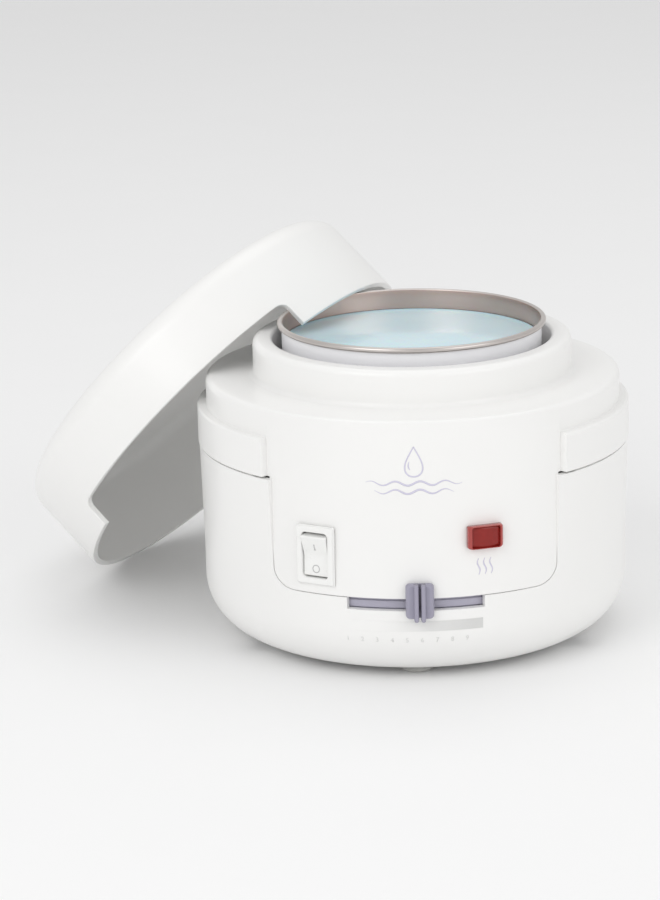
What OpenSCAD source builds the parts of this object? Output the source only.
// Wax warmer pot with its lid leaning against it. Z is up, the front faces -Y,
// and the origin is on the pot's axis in the plane of the table.

/* [Housing] */
// Diameter over the raised band round the middle
band_d = 160; // [150:1:170]
// Height of the top of the band, where the lid sits when it is on
band_top = 87.2; // [84:0.2:90]
// Height of the joint between the two mouldings
split_z = 73.3; // [71:0.1:75]
// Height of the flat shoulder
shoulder_z = 97.6; // [95:0.2:99]
// Outside diameter of the collar round the can
collar_d = 117.8; // [114:0.2:122]
// Height of the top of the collar
collar_z = 111; // [109:0.5:112]
// Diameter of the hole in the collar
mouth_d = 103.2; // [102.6:0.1:104]
// Wall thickness of the mouldings
wall = 2.4; // [2:0.1:2.8]
// Radius of the round edge at the foot of the body
foot_round = 19.7; // [15:0.1:22]
// Height of the underside above the table
under_z = 2.2; // [1.6:0.1:3]

/* [Front panel] */
// Half width of the panel at its top and at its foot
panel_half = [51.3, 50.1]; // [48:0.1:53]
// Height of the lower edge of the panel
panel_foot = 33.5; // [32.5:0.1:34.5]
// Gap left round the panel
panel_gap = 0.5; // [0.3:0.1:0.8]
// Half angle of the slider's slot, in degrees
slot_half = 18; // [17.5:0.5:20]
// Height of the lower edge of the slot
slot_foot = 28.9; // [28:0.1:29.5]
// Angle from the front at which each end of the band stops, in degrees
band_end = 42.3; // [41.5:0.1:43]

/* [Controls] */
// Angle of the slider from the front at rest, in degrees
slider_at = 1; // [-2:0.5:2]
// Width and height of the slider knob
knob = [10, 12.8]; // [8:0.1:14]
// Angle and height of the middle of the rocker switch
switch_at = [-26.4, 47.7]; // [-30:0.1:60]
// Width and height of the switch frame
switch_size = [15, 21.8]; // [14:0.1:24]
// Tilt of the rocker either side of level, in degrees
rocker_tilt = 9; // [6:0.5:10]
// Angle and height of the middle of the lamp
lamp_at = [18.1, 55.1]; // [15:0.1:60]
// Width and height of the lamp lens
lamp_size = [13, 8.3]; // [9:0.1:16]

/* [Wax can] */
// Diameter over the rim of the can
rim_d = 99.3; // [99:0.1:99.6]
// Height of the rim above the table
rim_z = 117; // [116:0.2:118]
// Depth of the can
can_h = 76.6; // [70:0.1:76.6]
// Depth of the wax below the rim
wax_drop = 7.8; // [6:0.1:10]

/* [Lid] */
// Outside diameter of the lid
lid_d = 159; // [158.6:0.1:160]
// Depth of the lid
lid_h = 39.3; // [39:0.1:40]
// Height of the notch that clears the front panel
notch_h = 11.2; // [11:0.1:11.4]
// Half width of the notch
notch_half = 54.3; // [54:0.1:55]
// Lean of the lid's axis, its bearing, and its turn, in degrees
lid_lean = [48.59, 153.31, 200.56]; // [0:0.01:360]
// Where the middle of the lid's rim stands beside the pot
lid_xy = [-66.24, 63.3]; // [-70:0.01:70]

/* [Hidden] */
$fn = 96;
eps = 0.1;

band_r = band_d / 2;
ledge_r = band_r - 3.4;         // what the lid slips over
collar_r = collar_d / 2;
mouth_r = mouth_d / 2;
base_top_r = band_r - 0.4;      // lower moulding at its top
base_low_r = band_r - 1.2;      // lower moulding above its round foot
panel_top_r = ledge_r + 0.5;    // panel at the shoulder
panel_low_r = base_low_r + 0.1; // panel at its foot
panel_thick = 2.4;
split_gap = 0.8;
base_top = split_z - split_gap;
floor_z = under_z + 2.5;        // inside of the base
skirt_r = mouth_r + wall;
skirt_z = shoulder_z - wall;    // lower end of the skirt in the mouth
boss_r = 67;
boss_at = [-62, 62, -140, 140];
boss_join = 30;
shield_r = 58.2;
shield_z = 32.5;
flange_z = skirt_z - 1.4 - 1.2; // underside of the well's flange
well_r = 50.4;
well_wall = 1.2;
well_floor = rim_z - can_h - 0.4;
lever_z = 19.5;
rocker_pivot = 1.6;             // how deep the rocker's pivots lie behind the panel
strip_r = 75.4;
strip_z = [27.5, 35.2];
slot_mid = (slot_foot + panel_foot) / 2;
gland_z = 28;
gland_bore = 3.6;
rim_r = rim_d / 2;
can_r = rim_r - 1.65;
lid_r = lid_d / 2;
lid_wall = 2.4;
lid_round = 8.4;
lid_rim_z = lid_r * sin(lid_lean[0]) + 0.02;

// The corner left outside a quarter circle, for rounding an edge or filling a corner.
// Turn 0 is the upper right corner, and each turn is a quarter anticlockwise.
module corner(x, z, r, turn) {
  translate([x, z]) rotate(90 * turn) translate([-r, -r])
    difference() { square(r + eps); circle(r); }
}

// Puts a piece on the front wall: at this angle and height, its face at y = -r.
module on_front(at, r) { rotate([0, 0, at[0]]) translate([0, -r, at[1]]) children(); }

// A sector of a ring standing on the XY plane, between two angles from the front.
module sector(r0, r1, h, from, to) {
  rotate([0, 0, from - 90]) rotate_extrude(angle = to - from)
    translate([r0, 0]) square([r1 - r0, h]);
}

// A block between limits in x and z that runs through the front wall.
module front_block(x0, x1, z0, z1) {
  translate([x0, -band_r - 5, z0]) cube([x1 - x0, 50, z1 - z0]);
}

// The panel's outline seen from the front, grown by g.
module panel_outline(g) {
  r = 7 + g;
  foot = panel_foot - g;
  half = panel_half + [g, g];
  difference() {
    polygon([[-half[1], foot], [half[1], foot], [half[0], split_z],
             [half[0], split_z + eps], [-half[0], split_z + eps], [-half[0], split_z]]);
    corner(-half[1], foot, r, 2);
    corner(half[1], foot, r, 3);
  }
}

module through_front() {
  rotate([90, 0, 0]) linear_extrude(band_r + 5) children();
}

module panel_wall() {
  rotate_extrude() polygon([
    [panel_low_r - panel_thick, panel_foot - 1], [panel_low_r, panel_foot - 1],
    [panel_top_r, shoulder_z - 1], [panel_top_r - 1, shoulder_z],
    [panel_top_r - panel_thick, shoulder_z]]);
}

module top_ring() {
  rotate_extrude() {
    // collar and its skirt
    difference() {
      translate([mouth_r, skirt_z]) square([collar_r - mouth_r, collar_z - skirt_z]);
      translate([skirt_r, skirt_z - eps])
        square([collar_r - wall - skirt_r, collar_z - wall - skirt_z + eps]);
      corner(collar_r, collar_z, 2.5, 0);
      corner(mouth_r, collar_z, 1.2, 1);
    }
    corner(collar_r, shoulder_z, 2, 2);
    // shoulder and ledge
    difference() {
      translate([collar_r - wall, band_top - wall])
        square([ledge_r - collar_r + wall, shoulder_z - band_top + wall]);
      translate([collar_r - wall - eps, band_top - wall - eps])
        square([ledge_r - collar_r + eps, skirt_z - band_top + wall + eps]);
      corner(ledge_r, shoulder_z, 2.2, 0);
    }
  }
}

module band() {
  rotate([0, 0, band_end - 90]) rotate_extrude(angle = 360 - 2 * band_end) difference() {
    translate([ledge_r - wall, split_z]) square([band_r - ledge_r + wall, band_top - split_z]);
    translate([ledge_r - wall - eps, split_z - eps])
      square([band_r - ledge_r + eps, band_top - wall - split_z + eps]);
    corner(band_r, band_top, 1, 0);
    corner(band_r, split_z, 0.4, 3);
  }
}

// Holes through the panel: the switch's and the lamp's, each with a flat land.
module panel_holes() {
  on_front(switch_at, panel_low_r) {
    translate([-switch_size[0] / 2 - 0.15, -5, -switch_size[1] / 2 - 0.15])
      cube([switch_size[0] + 0.3, 5.4, switch_size[1] + 0.3]);
    translate([-6.6, -5, -9.8]) cube([13.2, 12, 19.6]);
  }
  on_front(lamp_at, panel_low_r) {
    translate([-lamp_size[0] / 2 - 0.15, -5, -lamp_size[1] / 2 - 0.15])
      cube([lamp_size[0] + 0.3, 5.6, lamp_size[1] + 0.3]);
    translate([-6.1, -5, -3.6]) cube([12.2, 12, 7.2]);
  }
}

module top_housing() {
  color([0.95, 0.95, 0.94]) difference() {
    union() {
      top_ring();
      band();
      intersection() {
        panel_wall();
        union() {
          through_front() panel_outline(0);
          front_block(-54, 54, split_z, shoulder_z);
        }
      }
      for (a = boss_at) rotate([0, 0, a]) translate([0, -boss_r, boss_join + 0.1])
        cylinder(r = 4, h = skirt_z - boss_join + 1);
    }
    panel_holes();
    for (a = boss_at) rotate([0, 0, a]) translate([0, -boss_r, boss_join])
      cylinder(r = 1.9, h = 20);
  }
}

// Outside of the lower moulding in section, drawn in by t.
module base_section(t) {
  r = foot_round - t;
  difference() {
    polygon([[0, under_z + t], [base_low_r - t, under_z + t], [base_low_r - t, 34],
             [base_top_r - t, base_top], [0, base_top]]);
    corner(base_low_r - t, under_z + t, r, 3);
  }
}

module base_housing() {
  color([0.95, 0.95, 0.94]) difference() {
    union() {
      difference() {
        rotate_extrude() base_section(0);
        rotate_extrude() base_section(2.5);
        translate([0, 0, base_top - eps]) cylinder(r = base_top_r - 2.5, h = 1);
      }
      // tongue that locates the upper moulding
      difference() {
        translate([0, 0, base_top - 5]) difference() {
          cylinder(r = band_r - 2.8, h = 9);
          translate([0, 0, -eps]) cylinder(r = band_r - 4.4, h = 10);
        }
        front_block(-56, 56, base_top - 6, base_top + 6);
      }
      intersection() {
        rotate_extrude() base_section(0.5);
        for (a = boss_at) rotate([0, 0, a]) translate([0, -boss_r, 0])
          cylinder(r = 4.3, h = boss_join);
      }
      for (a = [75, 180, 285]) rotate([0, 0, a]) translate([0, -50, floor_z - 0.5])
        cylinder(r = 4, h = shield_z - floor_z + 0.45);
    }
    through_front() panel_outline(panel_gap);
    front_block(-panel_half[0] - panel_gap, panel_half[0] + panel_gap, split_z, split_z + 1);
    translate([0, 0, slot_foot])
      sector(band_r - 8, band_r + 2, panel_foot - slot_foot, -slot_half, slot_half);
    for (a = boss_at) rotate([0, 0, a]) translate([0, -boss_r, 0]) {
      cylinder(r = 2.1, h = boss_join + 1);
      translate([0, 0, -1]) cylinder(r = 4, h = 9);
    }
    // vents in the floor
    for (a = [30:60:330]) rotate([0, 0, a]) translate([-1.5, 20, 0]) cube([3, 20, 6]);
    // hole for the cord gland
    translate([0, base_low_r - 10, gland_z]) rotate([-90, 0, 0]) cylinder(r = 6.1, h = 20);
  }
}

module foot_ring() {
  color([0.85, 0.85, 0.84]) union() {
    difference() {
      cylinder(r = 54.5, h = under_z - 0.05);
      translate([0, 0, -1]) cylinder(r = 46, h = 5);
    }
    for (a = [0:90:270]) rotate([0, 0, a]) translate([0, -56, 0])
      cylinder(r = 6, h = under_z - 0.05);
  }
}

module cord_gland() {
  color([0.9, 0.9, 0.89]) difference() {
    translate([0, base_low_r - 6, gland_z]) rotate([-90, 0, 0]) {
      cylinder(r = 6, h = 8);
      translate([0, 0, 6.3]) cylinder(r = 8, h = 1.8);
      cylinder(r = 7.5, h = 2.6);
    }
    translate([0, base_low_r - 10, gland_z]) rotate([-90, 0, 0])
      cylinder(r = gland_bore, h = 20);
  }
}

module heating_well() {
  color([0.78, 0.79, 0.8]) rotate_extrude() difference() {
    union() {
      translate([0, well_floor - 1.5]) square([well_r, flange_z + 1.2 - well_floor + 1.5]);
      translate([0, flange_z]) square([shield_r, 1.2]);
    }
    translate([-1, well_floor]) square([well_r - well_wall + 1, 80]);
    corner(well_r, well_floor - 1.5, 3, 3);
  }
}

module well_gasket() {
  color([0.75, 0.3, 0.22]) translate([0, 0, flange_z + 1.22]) difference() {
    cylinder(r = collar_r - 2.9, h = 1.36);
    translate([0, 0, -1]) cylinder(r = mouth_r - 0.6, h = 4);
  }
}

module heater_band() {
  color([0.7, 0.66, 0.58]) difference() {
    union() {
      translate([0, 0, 44]) sector(well_r + 0.05, well_r + 1.6, 40, -176, 176);
      for (s = [-1, 1]) rotate([0, 0, 180 + s * 5]) translate([-0.6, -56, 52])
        cube([1.2, 56 - well_r - 0.8, 24]);
    }
    translate([-10, 53.8, 64]) rotate([0, 90, 0]) cylinder(r = 1.4, h = 20);
  }
}

module band_clamp_screw() {
  color("silver") translate([0, 53.8, 64]) rotate([0, 90, 0]) {
    translate([0, 0, -7.4]) cylinder(r = 1.2, h = 14.8);
    translate([0, 0, -7.4]) cylinder(r = 1.8, h = 1.6);
    translate([0, 0, 5.8]) cylinder(r = 1.8, h = 1.6, $fn = 6);
  }
}

module insulation_sleeve() {
  color([0.93, 0.9, 0.78]) translate([0, 0, 42])
    sector(well_r + 2, shield_r - 1.2, 46, -168, 168);
}

module base_heater() {
  color([0.7, 0.66, 0.58]) translate([0, 0, well_floor - 3.4]) difference() {
    cylinder(r = 45, h = 1.85);
    translate([0, 0, -1]) cylinder(r = 9, h = 4);
  }
}

module heat_shield() {
  color([0.72, 0.73, 0.74]) difference() {
    translate([0, 0, shield_z]) cylinder(r = shield_r, h = flange_z - shield_z - 0.02);
    translate([0, 0, shield_z + 0.8]) cylinder(r = shield_r - 0.8, h = 70);
    translate([0, 0, shield_z - 1]) cylinder(r = 18, h = 3);
  }
}

module thermostat_body() {
  color([0.3, 0.25, 0.2]) difference() {
    union() {
      translate([0, 0, 26.5]) cylinder(r = 14, h = 8.5);
      translate([0, 0, 34]) cylinder(r = 7, h = well_floor - 1.52 - 34);
      translate([13, -3, 28]) cube([4, 6, 1]);
      translate([-17, -3, 28]) cube([4, 6, 1]);
    }
    translate([0, 0, 26]) cylinder(r = 3.06, h = 5.2);
  }
}

module thermostat_spindle() {
  color("silver") {
    translate([0, 0, lever_z - 1.5]) cylinder(r = 3, h = 31 - lever_z + 1.5);
    translate([0, 0, lever_z - 3]) cylinder(r = 4.5, h = 1.5);
  }
}

module lever_arm() {
  color([0.62, 0.6, 0.7]) rotate([0, 0, slider_at]) difference() {
    union() {
      translate([0, 0, lever_z]) cylinder(r = 7, h = 4);
      translate([-3.5, -73, lever_z]) cube([7, 73, 2.5]);
      translate([-3.5, -74, lever_z]) cube([7, 2.4, strip_z[1] - lever_z]);
    }
    translate([0, 0, lever_z - 1]) cylinder(r = 3.03, h = 6);
    translate([-1.55, -76, slot_mid - 1.85]) cube([3.1, 5, 3.7]);
  }
}

module slider_strip() {
  color([0.6, 0.58, 0.68]) rotate([0, 0, slider_at]) difference() {
    translate([0, 0, strip_z[0]])
      sector(strip_r - 1.2, strip_r, strip_z[1] - strip_z[0], -35, 35);
    translate([-1.55, -80, slot_mid - 1.85]) cube([3.1, 10, 3.7]);
  }
}

module slider_knob() {
  back = panel_low_r + 0.5;
  mid = 33.1;
  color([0.6, 0.58, 0.7]) rotate([0, 0, slider_at]) {
    translate([-1.5, -back - 0.5, slot_mid - 1.8]) cube([3, back - 71.6, 3.6]);
    difference() {
      translate([-knob[0] / 2, -back - 2.6, mid - knob[1] / 2]) cube([knob[0], 2.6, knob[1]]);
      for (s = [0, 1]) mirror([s, 0, 0]) translate([-knob[0] / 2, -back - 2.6, 0])
        linear_extrude(100) polygon([[-1, -1], [1.2, -1], [-1, 2.2]]);
    }
    for (s = [-1, 1]) translate([s * 1.35 - 0.85, -back - 4.4, mid - knob[1] / 2 - 0.7])
      cube([1.7, 4.4, knob[1] + 0.9]);
  }
}

module thermal_fuse() {
  color("silver") translate([-6, 30, well_floor - 5.1]) rotate([0, 90, 0]) {
    cylinder(r = 1.1, h = 12);
    translate([0, 0, -6]) cylinder(r = 0.4, h = 24);
  }
}

module fuse_clip() {
  color([0.72, 0.73, 0.74]) translate([0, 30, well_floor - 5.1]) difference() {
    translate([-2, -3.5, -1.5]) cube([4, 7, 3.1]);
    translate([-3, 0, 0]) rotate([0, 90, 0]) cylinder(r = 1.13, h = 6);
  }
}

module switch_frame() {
  face = 1.1; // how far the frame stands off the panel
  color([0.93, 0.93, 0.92]) on_front(switch_at, panel_low_r) difference() {
    union() {
      translate([-switch_size[0] / 2, -face, -switch_size[1] / 2])
        cube([switch_size[0], face + 0.35, switch_size[1]]);
      translate([-6.5, 0, -9.7]) cube([13, 13.5, 19.4]);
    }
    // well for the rocker, with a hole each side for its pivots
    translate([-5.1, -face - 1, -8.35]) cube([10.2, 8.5, 16.7]);
    translate([-6.1, rocker_pivot, 0]) rotate([0, 90, 0]) cylinder(r = 1.25, h = 12.2);
    // thin step round the frame's face
    for (s = [-1, 1]) {
      translate([s * (switch_size[0] / 2) - 0.5, -face - 1, -15]) cube([1, 1.5, 30]);
      translate([-10, -face - 1, s * (switch_size[1] / 2) - 0.5]) cube([20, 1.5, 1]);
    }
  }
}

module rocker() {
  color([0.96, 0.96, 0.95]) on_front(switch_at, panel_low_r)
    translate([0, rocker_pivot, 0]) rotate([rocker_tilt, 0, 0]) {
      rotate([90, 0, 90]) translate([0, 0, -4.8]) linear_extrude(9.6)
        polygon([[-2.9, 7.7], [-1.4, 0], [-2.9, -7.7], [1.2, -7.5], [2.6, 0], [1.2, 7.5]]);
      translate([-5.95, 0, 0]) rotate([0, 90, 0]) cylinder(r = 1.2, h = 11.9);
    }
}

module switch_terminals() {
  color("gold") on_front(switch_at, panel_low_r)
    for (z = [-5, 5]) translate([-2.4, 13.55, z - 0.4]) cube([4.8, 5, 0.8]);
}

module lamp_lens() {
  half = [lamp_size[0] / 2, lamp_size[1] / 2];
  color([0.5, 0.05, 0.04]) on_front(lamp_at, panel_low_r) difference() {
    translate([-half[0], -2.2, -half[1]]) cube([lamp_size[0], 2.75, lamp_size[1]]);
    for (s = [0, 1]) {
      mirror([s, 0, 0]) translate([-half[0], -2.2, -10]) linear_extrude(20)
        polygon([[-1, -1], [2, -1], [-1, 2.4]]);
      mirror([0, 0, s]) rotate([90, 0, 90]) translate([-2.2, half[1], -10])
        linear_extrude(20) polygon([[-1, 1], [-1, -1.2], [0.9, 1]]);
    }
    translate([-5.4, -1, -2.9]) cube([10.8, 3, 5.8]);
  }
}

module lamp_body() {
  color([0.9, 0.9, 0.89]) on_front(lamp_at, panel_low_r) difference() {
    translate([-6, 0.6, -3.5]) cube([12, 12, 7]);
    translate([-5, 0.5, -2.5]) cube([10, 9, 5]);
  }
}

module lamp_bulb() {
  color([1, 0.6, 0.4]) on_front(lamp_at, panel_low_r)
    translate([0, 1.4, 0]) rotate([-90, 0, 0]) {
      sphere(r = 2);
      cylinder(r = 2, h = 6);
    }
}

module terminal_block() {
  color([0.9, 0.9, 0.85]) difference() {
    union() {
      translate([-14, 56.5, floor_z + 1.6]) cube([28, 8, 8.4]);
      translate([-6, 55, floor_z + 0.05]) cube([12, 4, 2]);
    }
    for (x = [-9, 0, 9]) {
      translate([x, 56, floor_z + 5]) rotate([-90, 0, 0]) cylinder(r = 1.6, h = 12);
      translate([x, 60.5, floor_z + 5]) cylinder(r = 1.3, h = 10);
    }
  }
}

// A wire that runs round the base and turns up to a control.
module lead(from, to, r, top) {
  z = 17.5;
  translate([0, 0, z]) rotate([0, 0, min(from, to) - 90])
    rotate_extrude(angle = abs(to - from)) translate([r, 0]) circle(r = 1.1);
  rotate([0, 0, to + (from < to ? -2 : 2)]) translate([0, -r, z])
    cylinder(r = 0.9, h = top - z);
}

module live_lead() { color([0.45, 0.28, 0.2]) lead(-168, -27, 61, 41.4); }
module neutral_lead() {
  color([0.25, 0.4, 0.7]) {
    lead(168, 19.6, 61, lamp_at[1]);
    on_front([21.6, lamp_at[1] - 1], 66.1) rotate([-90, 0, 0]) cylinder(r = 0.8, h = 5.1);
  }
}
module heater_lead() {
  color([0.85, 0.85, 0.8]) {
    translate([9, 67.2, 14.7]) cylinder(r = 1.1, h = 83.3 - 14.7);
    translate([9, 60.3, 82.2]) rotate([-90, 0, 0]) cylinder(r = 1.1, h = 6.9);
  }
}

module housing_screw(a) {
  color("silver") rotate([0, 0, a]) translate([0, -boss_r, 0]) difference() {
    union() {
      translate([0, 0, 6]) cylinder(r = 3.6, h = 1.95);
      translate([0, 0, 7]) cylinder(r = 1.85, h = 38);
    }
    translate([-2.4, -0.4, 5]) cube([4.8, 0.8, 2]);
    translate([-0.4, -2.4, 5]) cube([0.8, 4.8, 2]);
  }
}

module wax_can() {
  color([0.82, 0.83, 0.84]) rotate_extrude() {
    difference() {
      translate([0, rim_z - can_h]) square([can_r, can_h - 0.8]);
      translate([-1, rim_z - can_h + 0.6]) square([can_r + 0.6, can_h]);
      corner(can_r, rim_z - can_h, 1.5, 3);
    }
    translate([can_r - 0.4, rim_z - 1.8]) square([0.5, 0.9]);
    translate([rim_r - 1.05, rim_z - 1.05]) circle(r = 1.05, $fn = 48);
  }
}

module wax() {
  color([0.68, 0.83, 0.88]) rotate_extrude() difference() {
    translate([0, rim_z - can_h + 0.62]) square([can_r - 0.42, can_h - 0.62 - wax_drop]);
    corner(can_r - 0.42, rim_z - can_h + 0.62, 1.1, 3);
  }
}

module lid_cap() {
  difference() {
    rotate_extrude() difference() {
      square([lid_r, lid_h]);
      translate([-1, -1]) difference() {
        square([lid_r - lid_wall + 1, lid_h - lid_wall + 1]);
        corner(lid_r - lid_wall + 1, lid_h - lid_wall + 1, lid_round - lid_wall, 0);
      }
      corner(lid_r, lid_h, lid_round, 0);
    }
    rotate([90, 0, 0]) linear_extrude(lid_r + 5) difference() {
      translate([-notch_half, -1]) square([2 * notch_half, notch_h + 1]);
      corner(-notch_half, notch_h, 3, 1);
      corner(notch_half, notch_h, 3, 0);
    }
  }
}

module lid() {
  color([0.95, 0.95, 0.94]) translate([lid_xy[0], lid_xy[1], lid_rim_z])
    rotate([0, lid_lean[0], lid_lean[1]]) rotate([0, 0, lid_lean[2]]) lid_cap();
}

top_housing();
base_housing();
foot_ring();
cord_gland();
heating_well();
well_gasket();
heater_band();
band_clamp_screw();
insulation_sleeve();
base_heater();
heat_shield();
thermostat_body();
thermostat_spindle();
lever_arm();
slider_strip();
slider_knob();
thermal_fuse();
fuse_clip();
switch_frame();
rocker();
switch_terminals();
lamp_lens();
lamp_body();
lamp_bulb();
terminal_block();
live_lead();
neutral_lead();
heater_lead();
housing_screw(boss_at[0]);  // screw_front_left
housing_screw(boss_at[1]);  // screw_front_right
housing_screw(boss_at[2]);  // screw_back_left
housing_screw(boss_at[3]);  // screw_back_right
wax_can();
wax();
lid();
